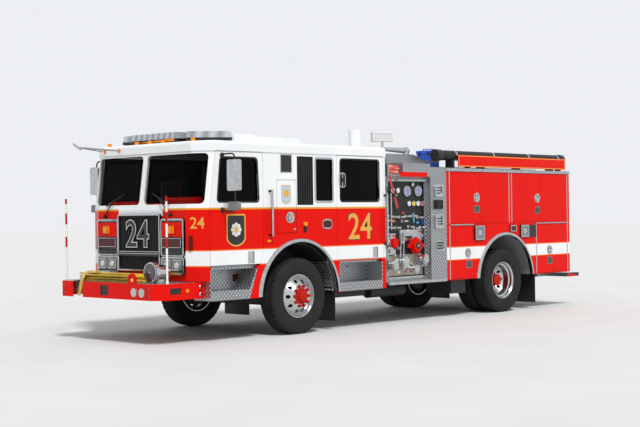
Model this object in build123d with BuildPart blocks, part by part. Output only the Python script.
from build123d import *
import os
from math import atan2, degrees, radians, sin, tan

os.makedirs("parts", exist_ok=True)

# A fire engine, in millimetres: a four-door cab over the front axle, a side
# pump panel and a compartment body over twin rear wheels. The front faces -Y,
# the driver's side is +X, and the origin is on the ground under the middle.
# Lengthways places are measured back from the front axle and set with place().

# Running gear
FRONT_AXLE_Y = -2315
WHEELBASE = 4790
TYRE_RADIUS = 525
TYRE_WIDTH = 290
BEAD_RADIUS = 285
BEAD_HALF = 105
RIM_LIP = 13
RIM_WALL = 11
TYRE_X = 1065
DUAL_SPACING = 335
KINGPIN_X = 870
PIN_RADIUS = 20
EYE_RADIUS = 55
EYE_HALF = 60
SPINDLE_RADIUS = 45
AXLE_TUBE_RADIUS = 75
RUNNING_GAP = 0.08
YOKE_GAP = 5
DRUM_RADIUS = 205
WHEELHOUSE_RADIUS = 720
WHEELHOUSE_INNER = 600
ARCH_RADIUS = 755
ARCH_TRIM = 40
TRIM_PROUD = 15

# Frame
RAIL_X = 430
RAIL_BOTTOM = 700
RAIL_HEIGHT = 230
RAIL_FLANGE = 80
RAIL_PLATE = 12

# Cab
CAB_HALF = 1222
CAB_WALL = 50
NOSE_Y = -1800
NOSE_FLAT_HALF = 930
CORNER_Y = -1645
NOSE_LEAN = 105
CAB_REAR = 1800
FASCIA_BOTTOM = 800
FLOOR_TOP = 990
FLOOR_THICK = 50
BELT = 1731
GUTTER = 2486
ROOF_TOP = 2620
GLASS = 8
DOOR_GAP = 6
DOOR_BOTTOM = 1000
SIDE_BOTTOM = 545
STEP_TOP = 668
STEP_DEPTH = 320
STEP_PLATE = 12
FRONT_DOOR_REAR = -700
REAR_DOOR = (750, 1750)
WELL_TOP = 980
FRONT_WELL_REAR = (-956, -800)
REAR_WELL = (790, 1720)

# Bumper
BUMPER_Y = -2392
BUMPER_FLAT_HALF = 958
BUMPER_HALF = 1100
BUMPER_CORNER_Y = -2250
BUMPER_REAR = CORNER_Y
BUMPER_BOTTOM = 583
BUMPER_TOP = 792
BUMPER_PLATE = 12

# Pump house
BODY_HALF = 1250
PUMP = (1830, 2830)
PUMP_HALF = BODY_HALF - 85
PUMP_BOTTOM = 630
PUMP_TOP = 2200
STRIP_REAR = 3220
BOARD_EDGE = 50

# Compartment body
BODY_INNER = 560
BODY_REAR = 6700
BODY_BOTTOM = 592
BODY_TOP = 2295
BODY_RAIL = 50
LEAF_THICK = 30
LEAF_GAP = 6
LEAF_LAND = 25
UPPER_DOORS = ((3326, 4866), (4994, 6605))
UPPER_Z = (1475, 2286)
LOWER_Z = (606, 1440)
LOWER_FRONT = (3326, 3910)
LOWER_REAR = (5700, 6605)
BODY_SKIN = 40
TAILBOARD_REAR = 7030
TAILBOARD_TOP = 565
TAILBOARD_THICK = 65

SIDES = (("left", 1), ("right", -1))


def place(distance):
    """Lengthways place from its distance behind the front axle."""
    return FRONT_AXLE_Y + distance


def places(pair):
    return place(pair[0]), place(pair[1])


REAR_AXLE_Y = place(WHEELBASE)
AXLE_Z = TYRE_RADIUS
RAIL_TOP = RAIL_BOTTOM + RAIL_HEIGHT


def span_box(x, y, z, mode=Mode.ADD):
    """A box between a pair of places along each axis."""
    middle = ((x[0] + x[1]) / 2, (y[0] + y[1]) / 2, (z[0] + z[1]) / 2)
    with Locations(middle):
        Box(abs(x[1] - x[0]), abs(y[1] - y[0]), abs(z[1] - z[0]), mode=mode)


def rod(start, end, radius, mode=Mode.ADD):
    """A round bar between two points."""
    along = Vector(*end) - Vector(*start)
    with BuildSketch(Plane(origin=start, z_dir=along)) as section:
        Circle(radius)
    extrude(section.sketch, amount=along.length, mode=mode)


def side_panel(outline, x, mode=Mode.ADD, corner=0, grow=0):
    """A flat piece parallel to the vehicle's side, from its corners in (y, z)."""
    with BuildSketch(Plane.YZ.offset(min(x))) as face:
        with BuildLine():
            Polyline(*outline, close=True)
        make_face()
        if grow:
            offset(amount=grow, kind=Kind.INTERSECTION)
        if corner:
            fillet(face.vertices(), corner)
    extrude(face.sketch, amount=abs(x[1] - x[0]), mode=mode)


def front_panel(outline, y, mode=Mode.ADD, corner=0):
    """A flat piece parallel to the vehicle's front, from its corners in (x, z)."""
    with BuildSketch(Plane.XZ.offset(-max(y))) as face:
        with BuildLine():
            Polyline(*outline, close=True)
        make_face()
        if corner:
            fillet(face.vertices(), corner)
    extrude(face.sketch, amount=abs(y[1] - y[0]), mode=mode)


def deck(outline, z, mode=Mode.ADD, corner=0):
    """A flat level piece, from its corners in (x, y)."""
    with BuildSketch(Plane.XY.offset(min(z))) as face:
        with BuildLine():
            Polyline(*outline, close=True)
        make_face()
        if corner:
            fillet(face.vertices(), corner)
    extrude(face.sketch, amount=abs(z[1] - z[0]), mode=mode)


def cross_cylinder(radius, x, y, z, mode=Mode.ADD):
    """A cylinder that lies across the vehicle."""
    rod((min(x), y, z), (max(x), y, z), radius, mode)


def box_outline(y, z):
    return [(y[0], z[0]), (y[1], z[0]), (y[1], z[1]), (y[0], z[1])]


def mirrored(points):
    """The same points with their first coordinate's sign changed."""
    return [(-point[0], *point[1:]) for point in points]


def axle_plane(x, y):
    """Plane with +X outboard from a wheel's middle and +Y up."""
    return Plane(origin=(x, y, AXLE_Z), x_dir=(1, 0, 0), z_dir=(0, -1, 0))


# Frame: two channel rails, a drop nose that carries the bumper, and crossmembers
FRAME_FRONT = -1640
FRAME_REAR = 6420
NOSE_RAIL = (590, 640)
NOSE_DROP = 60
CROSSMEMBERS = (-1560, 1000, 2300, 3550, 5900, 6340)
CROSSMEMBER_HEIGHT = 150
CROSSMEMBER_THICK = 60

with BuildPart() as frame_rails:
    for name, side in SIDES:
        web = (side * RAIL_X, side * (RAIL_X + RAIL_PLATE))
        flange = (side * (RAIL_X + RAIL_PLATE - RAIL_FLANGE), side * (RAIL_X + RAIL_PLATE))
        run = places((FRAME_FRONT, FRAME_REAR))
        span_box(web, run, (RAIL_BOTTOM, RAIL_TOP))
        span_box(flange, run, (RAIL_BOTTOM, RAIL_BOTTOM + RAIL_PLATE))
        span_box(flange, run, (RAIL_TOP - RAIL_PLATE, RAIL_TOP))
        nose = (BUMPER_Y + BUMPER_PLATE, FRAME_FRONT + 300)
        span_box(flange, places(nose), NOSE_RAIL)
        span_box(flange, places((FRAME_FRONT, FRAME_FRONT + NOSE_DROP)), (NOSE_RAIL[0], RAIL_TOP))
    for distance in CROSSMEMBERS:
        across = (-RAIL_X, RAIL_X)
        along = (place(distance), place(distance) + CROSSMEMBER_THICK)
        middle = RAIL_BOTTOM + RAIL_HEIGHT / 2
        span_box(across, along, (middle - CROSSMEMBER_HEIGHT / 2, middle + CROSSMEMBER_HEIGHT / 2))
frame_rails.part.label = "frame_rails"
export_step(frame_rails.part, "parts/frame_rails.step")


# Leaf packs: leaves that shorten downwards, with an eye block at each end
LEAF_COUNT = 4
PACK_HALF_LENGTH = 640
PACK_WIDTH = 76


def leaf_pack(side, axle_y, seat, leaf, eye_z):
    middle = side * (RAIL_X + RAIL_PLATE - RAIL_FLANGE / 2)
    wide = (middle - PACK_WIDTH / 2, middle + PACK_WIDTH / 2)
    for index in range(LEAF_COUNT):
        half = PACK_HALF_LENGTH * (index + 1) / LEAF_COUNT
        span_box(wide, (axle_y - half, axle_y + half), (seat + index * leaf, seat + (index + 1) * leaf))
    top = seat + LEAF_COUNT * leaf
    for end in (-1, 1):
        hanger = (axle_y + end * (PACK_HALF_LENGTH - 60), axle_y + end * PACK_HALF_LENGTH)
        span_box(wide, hanger, (top, eye_z))


# Front axle: a dropped forged beam with a kingpin eye at each end
BEAM_HALF_DEPTH = 45
BEAM_TOP = [(KINGPIN_X - 30, 45), (740, 30), (620, -60)]
BEAM_UNDER = [(620, -150), (750, -70), (KINGPIN_X - 30, -45)]
FRONT_LEAF = 22

with BuildPart() as front_axle:
    half_beam = [(x, AXLE_Z + z) for x, z in BEAM_TOP + BEAM_UNDER]
    beam = half_beam[:3] + mirrored(half_beam[:3])[::-1] + mirrored(half_beam[3:])[::-1] + half_beam[3:]
    front_panel(beam, (FRONT_AXLE_Y - BEAM_HALF_DEPTH, FRONT_AXLE_Y + BEAM_HALF_DEPTH))
    for name, side in SIDES:
        with Locations((side * KINGPIN_X, FRONT_AXLE_Y, AXLE_Z)):
            Cylinder(EYE_RADIUS, 2 * EYE_HALF)
        leaf_pack(side, FRONT_AXLE_Y, AXLE_Z + BEAM_TOP[2][1], FRONT_LEAF, RAIL_BOTTOM)
    for name, side in SIDES:
        with Locations((side * KINGPIN_X, FRONT_AXLE_Y, AXLE_Z)):
            Cylinder(PIN_RADIUS + RUNNING_GAP, 2 * EYE_HALF, mode=Mode.SUBTRACT)
front_axle.part.label = "front_axle"
export_step(front_axle.part, "parts/front_axle.step")


# Steering knuckles: a yoke around the beam's eye, the kingpin and the spindle
EAR_THICK = 30
YOKE_BACK = (KINGPIN_X + EYE_RADIUS + YOKE_GAP + 2, KINGPIN_X + EYE_RADIUS + 35)
SPINDLE_END = TYRE_X + 190
YOKE_HALF_DEPTH = 50

for name, side in SIDES:
    with BuildPart() as knuckle:
        low = EYE_HALF + YOKE_GAP
        high = low + EAR_THICK
        with Locations((side * KINGPIN_X, FRONT_AXLE_Y, AXLE_Z)):
            Cylinder(PIN_RADIUS, 2 * high)
        for ear in ((low, high), (-high, -low)):
            middle = AXLE_Z + (ear[0] + ear[1]) / 2
            with Locations((side * KINGPIN_X, FRONT_AXLE_Y, middle)):
                Cylinder(YOKE_HALF_DEPTH, EAR_THICK)
            reach = (side * KINGPIN_X, side * YOKE_BACK[1])
            depth = (FRONT_AXLE_Y - YOKE_HALF_DEPTH, FRONT_AXLE_Y + YOKE_HALF_DEPTH)
            span_box(reach, depth, (AXLE_Z + ear[0], AXLE_Z + ear[1]))
        back = (side * YOKE_BACK[0], side * YOKE_BACK[1])
        span_box(back, depth, (AXLE_Z - high, AXLE_Z + high))
        cross_cylinder(SPINDLE_RADIUS, (side * YOKE_BACK[1], side * SPINDLE_END), FRONT_AXLE_Y, AXLE_Z)
    knuckle.part.label = f"knuckle_{name}"
    export_step(knuckle.part, f"parts/knuckle_{name}.step")


# Tyres: a rounded section from bead to bead, turned about the axle
SHOULDER_HALF = 118
SHOULDER_RADIUS = TYRE_RADIUS - 20
WIDEST_RADIUS = 405


def tyre_ring(x, y):
    flange = BEAD_RADIUS + RIM_LIP + 2
    beads = [(-BEAD_HALF, flange), (-BEAD_HALF, BEAD_RADIUS), (BEAD_HALF, BEAD_RADIUS), (BEAD_HALF, flange)]
    left_shoulder = (-SHOULDER_HALF, SHOULDER_RADIUS)
    right_shoulder = (SHOULDER_HALF, SHOULDER_RADIUS)
    with BuildSketch(axle_plane(x, y)) as section:
        with BuildLine():
            Polyline(*beads)
            ThreePointArc(beads[3], (TYRE_WIDTH / 2, WIDEST_RADIUS), right_shoulder)
            ThreePointArc(right_shoulder, (0, TYRE_RADIUS), left_shoulder)
            ThreePointArc(left_shoulder, (-TYRE_WIDTH / 2, WIDEST_RADIUS), beads[0])
        make_face()
    revolve(section.sketch, axis=Axis((x, y, AXLE_Z), (1, 0, 0)))


# Disc wheels: rim, dished disc with hand holes, brake drum and hub.
# Across places are measured from the rim's middle towards the disc.
DISC_FACE = DUAL_SPACING / 2
DISC_THICK = 14
DISC_FLAT_RADIUS = 165
HAND_HOLES = 10
HAND_HOLE_RADIUS = 25
HAND_HOLE_CIRCLE = 213
WELL_RADIUS = BEAD_RADIUS - 23


def wheel_profile(disc):
    """Section of a rim and its disc as (across, radius), with the disc on the side given by its sign."""
    lip = BEAD_RADIUS + RIM_LIP
    outer = BEAD_HALF + 12
    inner_radius = WELL_RADIUS - RIM_WALL
    points = [
        (-outer, lip), (-BEAD_HALF, lip), (-BEAD_HALF, BEAD_RADIUS), (-62, BEAD_RADIUS), (-48, WELL_RADIUS),
        (28, WELL_RADIUS), (42, BEAD_RADIUS), (BEAD_HALF, BEAD_RADIUS), (BEAD_HALF, lip), (outer, lip),
        (outer, lip - 8), (96, BEAD_RADIUS - 10), (74, WELL_RADIUS),
        (DISC_FACE - 45, HAND_HOLE_CIRCLE), (DISC_FACE, DISC_FLAT_RADIUS), (DISC_FACE, SPINDLE_RADIUS + 15),
        (DISC_FACE - DISC_THICK, SPINDLE_RADIUS + 15), (DISC_FACE - DISC_THICK, DISC_FLAT_RADIUS - 6),
        (DISC_FACE - 59, HAND_HOLE_CIRCLE - 9), (56, inner_radius), (24, inner_radius), (-44, inner_radius),
        (-58, BEAD_RADIUS - RIM_WALL), (-96, BEAD_RADIUS - RIM_WALL), (-outer, lip - 8),
    ]
    return [(disc * across, radius) for across, radius in points]


def disc_wheel(x, y, disc):
    with BuildSketch(axle_plane(x, y)) as section:
        with BuildLine():
            Polyline(*wheel_profile(disc), close=True)
        make_face()
    revolve(section.sketch, axis=Axis((x, y, AXLE_Z), (1, 0, 0)))
    holes = Plane(origin=(x + disc * (DISC_FACE - 100), y, AXLE_Z), x_dir=(0, 1, 0), z_dir=(disc, 0, 0))
    with BuildSketch(holes) as hand_holes:
        with PolarLocations(HAND_HOLE_CIRCLE, HAND_HOLES):
            Circle(HAND_HOLE_RADIUS)
    extrude(hand_holes.sketch, amount=150, mode=Mode.SUBTRACT)


# Front hubs: drum and flange inboard of the disc, the cap through its middle
FRONT_HUB = [
    (-95, DRUM_RADIUS), (55, DRUM_RADIUS), (60, 140), (DISC_FACE - DISC_THICK, 140), (DISC_FACE, 112),
    (DISC_FACE + 12, 112), (DISC_FACE + 18, 80), (DISC_FACE + 45, 76), (DISC_FACE + 52, 60),
]
# Rear hubs: drum inboard of both discs, a long nose out to the axle flange
REAR_HUB_NOSE = 175

for name, side in SIDES:
    centre = side * TYRE_X
    with BuildPart() as tyre_front:
        tyre_ring(centre, FRONT_AXLE_Y)
    tyre_front.part.label = f"tyre_front_{name}"
    export_step(tyre_front.part, f"parts/tyre_front_{name}.step")

    with BuildPart() as wheel_front:
        disc_wheel(centre, FRONT_AXLE_Y, side)
        hub_points = [(side * across, radius) for across, radius in FRONT_HUB]
        with BuildSketch(axle_plane(centre, FRONT_AXLE_Y)) as hub:
            with BuildLine():
                Polyline((hub_points[0][0], 0), *hub_points, (hub_points[-1][0], 0), close=True)
            make_face()
        revolve(hub.sketch, axis=Axis((centre, FRONT_AXLE_Y, AXLE_Z), (1, 0, 0)))
        bore = (side * YOKE_BACK[1], side * (SPINDLE_END + YOKE_GAP))
        cross_cylinder(SPINDLE_RADIUS + RUNNING_GAP, bore, FRONT_AXLE_Y, AXLE_Z, Mode.SUBTRACT)
    wheel_front.part.label = f"wheel_front_{name}"
    export_step(wheel_front.part, f"parts/wheel_front_{name}.step")

    inner = side * (TYRE_X - DUAL_SPACING)
    with BuildPart() as tyres_rear:
        tyre_ring(centre, REAR_AXLE_Y)
        tyre_ring(inner, REAR_AXLE_Y)
    tyres_rear.part.label = f"tyres_rear_{name}"
    export_step(tyres_rear.part, f"parts/tyres_rear_{name}.step")

    with BuildPart() as wheels_rear:
        disc_wheel(centre, REAR_AXLE_Y, -side)
        disc_wheel(inner, REAR_AXLE_Y, side)
        contact = side * (TYRE_X - DISC_FACE)
        drum = (inner - side * 90, inner + side * 70)
        cross_cylinder(DRUM_RADIUS, drum, REAR_AXLE_Y, AXLE_Z)
        cross_cylinder(140, (drum[1], contact - side * DISC_THICK), REAR_AXLE_Y, AXLE_Z)
        cross_cylinder(95, (drum[1], contact + side * REAR_HUB_NOSE), REAR_AXLE_Y, AXLE_Z)
        flange = (contact + side * DISC_THICK, contact + side * (DISC_THICK + 14))
        cross_cylinder(112, flange, REAR_AXLE_Y, AXLE_Z)
        bore = (drum[0], contact + side * (REAR_HUB_NOSE - 25))
        cross_cylinder(AXLE_TUBE_RADIUS + RUNNING_GAP, bore, REAR_AXLE_Y, AXLE_Z, Mode.SUBTRACT)
    wheels_rear.part.label = f"wheels_rear_{name}"
    export_step(wheels_rear.part, f"parts/wheels_rear_{name}.step")


# Rear axle: housing tube with a round banjo, leaf packs and the propeller shaft
BANJO_RADIUS = 210
BANJO_HALF = 110
REAR_LEAF = 16
SHAFT_RADIUS = 45
SHAFT_FRONT = (560, 690)
YOKE_RADIUS = 70
YOKE_LENGTH = 40
REAR_TUBE_END = TYRE_X - DISC_FACE + REAR_HUB_NOSE - 25 - YOKE_GAP

with BuildPart() as rear_axle:
    cross_cylinder(AXLE_TUBE_RADIUS, (-REAR_TUBE_END, REAR_TUBE_END), REAR_AXLE_Y, AXLE_Z)
    cross_cylinder(BANJO_RADIUS, (-BANJO_HALF, BANJO_HALF), REAR_AXLE_Y, AXLE_Z)
    for name, side in SIDES:
        middle = side * (RAIL_X + RAIL_PLATE - RAIL_FLANGE / 2)
        wide = (middle - PACK_WIDTH / 2, middle + PACK_WIDTH / 2)
        seat = AXLE_Z + AXLE_TUBE_RADIUS + 10
        span_box(wide, (REAR_AXLE_Y - 80, REAR_AXLE_Y + 80), (AXLE_Z, seat))
        leaf_pack(side, REAR_AXLE_Y, seat, REAR_LEAF, RAIL_BOTTOM)
    yoke = (0, place(SHAFT_FRONT[0]), SHAFT_FRONT[1])
    yoke_end = (0, place(SHAFT_FRONT[0] + YOKE_LENGTH), SHAFT_FRONT[1])
    rod(yoke, yoke_end, YOKE_RADIUS)
    pinion = (0, REAR_AXLE_Y - BANJO_RADIUS + 20, AXLE_Z + 40)
    rod(pinion, (0, yoke_end[1] - 10, yoke_end[2]), SHAFT_RADIUS)
rear_axle.part.label = "rear_axle"
export_step(rear_axle.part, "parts/rear_axle.step")


# Engine and gearbox: one plain block between the front seats
ENGINE_HALF = 340
ENGINE = (-1250, 560)
ENGINE_Z = (640, 1330)

with BuildPart() as engine_block:
    span_box((-ENGINE_HALF, ENGINE_HALF), places(ENGINE), ENGINE_Z)
    for name, side in SIDES:
        mount = (side * ENGINE_HALF, side * (RAIL_X + RAIL_PLATE - RAIL_FLANGE))
        span_box(mount, places((-900, -780)), (RAIL_BOTTOM + 40, RAIL_TOP - 40))
engine_block.part.label = "engine_block"
export_step(engine_block.part, "parts/engine_block.step")


# Front bumper: a wrapped channel with 45 degree corners, a tread deck and a
# hose well let into the deck
WELL_X = (-880, 420)
WELL_Y = (BUMPER_Y + 60, -1950)
WELL_DEPTH = 150
DECK_THICK = 6
HORN_X = (602, 760)
HORN_Z = 677
HORN_RADIUS = 55
SIDE_POCKET = ((-2213, -2034), (655, 735))
SPEAKER_X = (-112, 62)
SPEAKER_Z = (622, 756)
SPEAKER_SLOT = 12
HOSE_NOTCH = (-720, -500)
SPEAKER_SLOTS = 5


def bumper_plan(inset):
    """Half of the bumper's outline from its middle to its rear end."""
    shift = inset * tan(radians(22.5))
    return [
        (0, place(BUMPER_Y + inset)), (BUMPER_FLAT_HALF - shift, place(BUMPER_Y + inset)),
        (BUMPER_HALF - inset, place(BUMPER_CORNER_Y + shift)), (BUMPER_HALF - inset, place(BUMPER_REAR)),
    ]


with BuildPart() as front_bumper:
    outside = bumper_plan(0)
    inside = bumper_plan(BUMPER_PLATE)
    wall = outside[1:] + inside[:0:-1] + mirrored(inside[1:]) + mirrored(outside[:0:-1])
    deck(wall, (BUMPER_BOTTOM, BUMPER_TOP))
    plate = inside[1:] + mirrored(inside[:0:-1])
    deck(plate, (BUMPER_TOP - DECK_THICK, BUMPER_TOP))
    well = (WELL_X, places(WELL_Y))
    span_box(*well, (BUMPER_TOP - WELL_DEPTH, BUMPER_TOP))
    inner_well = [(pair[0] + DECK_THICK, pair[1] - DECK_THICK) for pair in well]
    span_box(*inner_well, (BUMPER_TOP - WELL_DEPTH + DECK_THICK, BUMPER_TOP), mode=Mode.SUBTRACT)
    notch = places((BUMPER_Y - 1, WELL_Y[0] + DECK_THICK + 1))
    span_box(HOSE_NOTCH, notch, (BUMPER_TOP - WELL_DEPTH + DECK_THICK, BUMPER_TOP + 1), Mode.SUBTRACT)
    span_box(HOSE_NOTCH, places((BUMPER_Y - 1, BUMPER_Y + BUMPER_PLATE + 1)), (BUMPER_BOTTOM - 1, BUMPER_TOP), Mode.SUBTRACT)
    for x in HORN_X:
        hole = ((x, place(BUMPER_Y) - 1, HORN_Z), (x, place(BUMPER_Y + BUMPER_PLATE) + 1, HORN_Z))
        rod(*hole, HORN_RADIUS, Mode.SUBTRACT)
    span_box(SPEAKER_X, places((BUMPER_Y - 1, BUMPER_Y + BUMPER_PLATE + 1)), SPEAKER_Z, Mode.SUBTRACT)
    pocket = box_outline(places(SIDE_POCKET[0]), SIDE_POCKET[1])
    for name, side in SIDES:
        through = (side * (BUMPER_HALF - BUMPER_PLATE - 1), side * (BUMPER_HALF + 1))
        side_panel(pocket, through, Mode.SUBTRACT)
front_bumper.part.label = "front_bumper"
export_step(front_bumper.part, "parts/front_bumper.step")


# What stands on the bumper: siren, air horns in their holes, hose outlet, an
# upright tow plate and two marker poles
SIREN = (760, -2130)
SIREN_Z = BUMPER_TOP + 136
SIREN_PROFILE = [
    (-125, 0), (-125, 100), (-116, 134), (-62, 136), (-48, 104), (60, 100), (150, 88), (178, 48), (178, 0),
]
SIREN_FOOT = (45, 70)
HORN_NECK = 14
HORN_LENGTH = 220
POLE_RADIUS = 14
POLE_TOP = 1900
POLE_PLACE = (BUMPER_HALF - 24, BUMPER_CORNER_Y + 14)
POLE_FOOT = (19, 40)
OUTLET = (-620, -2290)
OUTLET_NECK = (34, 30)
OUTLET_NUT = (48, 32)
TOW_PLATE = (549, 836)
TOW_PLATE_HALF = 84
TOW_PLATE_THICK = 26
TOW_HOLE = 38
AMBER = (-1935, 692)
AMBER_RADIUS = 24

with BuildPart() as bumper_fittings:
    siren_y = place(SIREN[1])
    front = Plane(origin=(SIREN[0], siren_y, SIREN_Z), x_dir=(0, 1, 0), z_dir=(1, 0, 0))
    with BuildSketch(front) as siren:
        with BuildLine():
            Polyline(*SIREN_PROFILE, close=True)
        make_face()
    revolve(siren.sketch, axis=Axis((SIREN[0], siren_y, SIREN_Z), (0, 1, 0)))
    foot = (SIREN[0] - SIREN_FOOT[0], SIREN[0] + SIREN_FOOT[0])
    span_box(foot, (siren_y - SIREN_FOOT[1], siren_y + SIREN_FOOT[1]), (BUMPER_TOP, SIREN_Z - 90))
    for x in HORN_X:
        mouth = (x, place(BUMPER_Y) - 12, HORN_Z)
        throat = (x, place(BUMPER_Y) + HORN_LENGTH, HORN_Z)
        with BuildSketch(Plane(origin=mouth, x_dir=(1, 0, 0), z_dir=(0, 1, 0))) as bell:
            Circle(HORN_RADIUS - 2)
        with BuildSketch(Plane(origin=throat, x_dir=(1, 0, 0), z_dir=(0, 1, 0))) as neck:
            Circle(HORN_NECK)
        loft([bell.sketch, neck.sketch])
    horn_bar = (HORN_X[0] - 20, HORN_X[1] + 20)
    bar_y = places((BUMPER_Y + HORN_LENGTH - 20, BUMPER_Y + HORN_LENGTH + 20))
    span_box(horn_bar, bar_y, (HORN_Z - 20, BUMPER_TOP - DECK_THICK))
    room = (BUMPER_Y + 3, BUMPER_Y + BUMPER_PLATE + 28)
    span_box(SPEAKER_X, places(room), SPEAKER_Z)
    slot_x = (SPEAKER_X[0] + SPEAKER_SLOT, SPEAKER_X[1] - SPEAKER_SLOT)
    slot_y = places((BUMPER_Y, BUMPER_Y + BUMPER_PLATE))
    for index in range(SPEAKER_SLOTS):
        slot_z = SPEAKER_Z[0] + (2 * index + 1) * SPEAKER_SLOT
        span_box(slot_x, slot_y, (slot_z, slot_z + SPEAKER_SLOT), Mode.SUBTRACT)
    for name, side in SIDES:
        foot = (side * POLE_PLACE[0], place(POLE_PLACE[1]), BUMPER_TOP)
        rod(foot, (foot[0], foot[1], POLE_TOP), POLE_RADIUS)
        rod(foot, (foot[0], foot[1], BUMPER_TOP + POLE_FOOT[1]), POLE_FOOT[0])
        lens = (side * BUMPER_HALF, side * (BUMPER_HALF + 14))
        cross_cylinder(AMBER_RADIUS, lens, place(AMBER[0]), AMBER[1])
        pocket = (SIDE_POCKET[0][0] + 4, SIDE_POCKET[0][1] - 4)
        span_box((side * (BUMPER_HALF - 8), side * (BUMPER_HALF - 24)), places(pocket), SIDE_POCKET[1])
        span_box(
            (side * (BUMPER_HALF - BUMPER_PLATE), side * (BUMPER_HALF - 24)),
            places((pocket[0] - 20, pocket[1] + 20)), (SIDE_POCKET[1][0] - 20, SIDE_POCKET[1][1] + 20),
        )
    outlet = (OUTLET[0], place(OUTLET[1]))
    neck_top = BUMPER_TOP + OUTLET_NECK[1]
    rod((*outlet, BUMPER_TOP - WELL_DEPTH + DECK_THICK), (*outlet, neck_top), OUTLET_NECK[0])
    rod((*outlet, neck_top), (*outlet, neck_top + OUTLET_NUT[1]), OUTLET_NUT[0])
    tow_faces = places((BUMPER_Y, BUMPER_Y + TOW_PLATE_THICK))
    tow_x, tow_z = TOW_PLATE
    tow_ends = ((tow_x, tow_faces[0], tow_z), (tow_x, tow_faces[1], tow_z))
    span_box((tow_x - TOW_PLATE_HALF, tow_x + TOW_PLATE_HALF), tow_faces, (BUMPER_TOP, tow_z))
    rod(*tow_ends, TOW_PLATE_HALF)
    span_box((tow_x - TOW_PLATE_HALF, tow_x + TOW_PLATE_HALF), tow_faces, (tow_z - 100, BUMPER_TOP), Mode.SUBTRACT)
    rod(*tow_ends, TOW_HOLE, Mode.SUBTRACT)
bumper_fittings.part.label = "bumper_fittings"
export_step(bumper_fittings.part, "parts/bumper_fittings.step")


# Cab nose: flat middle and slanted corners, upright to the belt and leaning
# back above it. The plan is the same all the way up.
FACET = atan2(CORNER_Y - NOSE_Y, CAB_HALF - NOSE_FLAT_HALF)
WINDSCREEN_POST = 38
WINDSCREEN_HALF = 1150
WINDSCREEN_Z = (1800, 2455)
WINDSCREEN_CORNER = 60
GRILLE_HALF = 448
GRILLE_FRAME = 28
GRILLE_Z = (918, 1678)
LAMP_X = (455, 918)
BEZELS = ((884, 1112), (1122, 1612))


def nose_plan(inset):
    """Nose outline, moved inwards, from its right end to its left end."""
    end = CAB_HALF - inset / sin(FACET)
    flat = NOSE_FLAT_HALF - inset * tan(FACET / 2)
    half = [(flat, place(NOSE_Y + inset)), (end, place(CORNER_Y))]
    return mirrored(half[::-1]) + half


def nose_layer(inset, thick, mode=Mode.ADD):
    """A layer of the nose: its lower upright part and its leaning upper part."""
    layer = nose_plan(inset) + nose_plan(inset + thick)[::-1]
    deck(layer, (FASCIA_BOTTOM, BELT), mode)
    with BuildSketch(Plane.XY.offset(BELT)) as plan:
        with BuildLine():
            Polyline(*layer, close=True)
        make_face()
    rise = Vector(0, NOSE_LEAN, GUTTER - BELT)
    extrude(plan.sketch, amount=rise.length, dir=rise.normalized(), mode=mode)


def windscreen_openings(mode):
    """Both panes' openings, cut or kept straight through the nose."""
    middle_x = (WINDSCREEN_POST + WINDSCREEN_HALF) / 2
    middle_z = (WINDSCREEN_Z[0] + WINDSCREEN_Z[1]) / 2
    front, back = places((NOSE_Y - 50, CORNER_Y + NOSE_LEAN + 50))
    size = (WINDSCREEN_HALF - WINDSCREEN_POST, WINDSCREEN_Z[1] - WINDSCREEN_Z[0])
    with BuildSketch(Plane.XZ.offset(-back)) as panes:
        with Locations((middle_x, middle_z), (-middle_x, middle_z)):
            RectangleRounded(*size, WINDSCREEN_CORNER)
    extrude(panes.sketch, amount=back - front, mode=mode)


with BuildPart() as cab_front:
    nose_layer(0, CAB_WALL)
    windscreen_openings(Mode.SUBTRACT)
    through = places((NOSE_Y - 10, NOSE_Y + CAB_WALL + 10))
    hole_x = (-GRILLE_HALF + GRILLE_FRAME + 2, GRILLE_HALF - GRILLE_FRAME - 2)
    hole_z = (GRILLE_Z[0] + GRILLE_FRAME + 2, GRILLE_Z[1] - GRILLE_FRAME - 2)
    span_box(hole_x, through, hole_z, Mode.SUBTRACT)
cab_front.part.label = "cab_front"
export_step(cab_front.part, "parts/cab_front.step")


# Grille: a framed opening with upright slats and a cross bar, and on each side
# a framed lamp bezel with a square lamp, two warning lamps and two headlamps
GRILLE_PROUD = 40
SLAT_PITCH = 34
SLAT_THICK = 8
CROSS_BAR = (1117, 1190)
BEZEL_PROUD = 30
BEZEL_FRAME = 22
LAMP_TABLE = (
    # middle height, width, height
    (1470, 390, 190),
    (1296, 390, 125),
)
AMBER_LAMP = (1470, 105)
AMBER_PROUD = 45
HEADLAMP_Z = 1008
HEADLAMP_SIZE = (185, 140)
LAMP_PROUD = 12
CORNER_LAMP = (46, 22, 185)
CORNER_LAMP_ALONG = 62
CORNER_LAMP_Z = 1295

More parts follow.
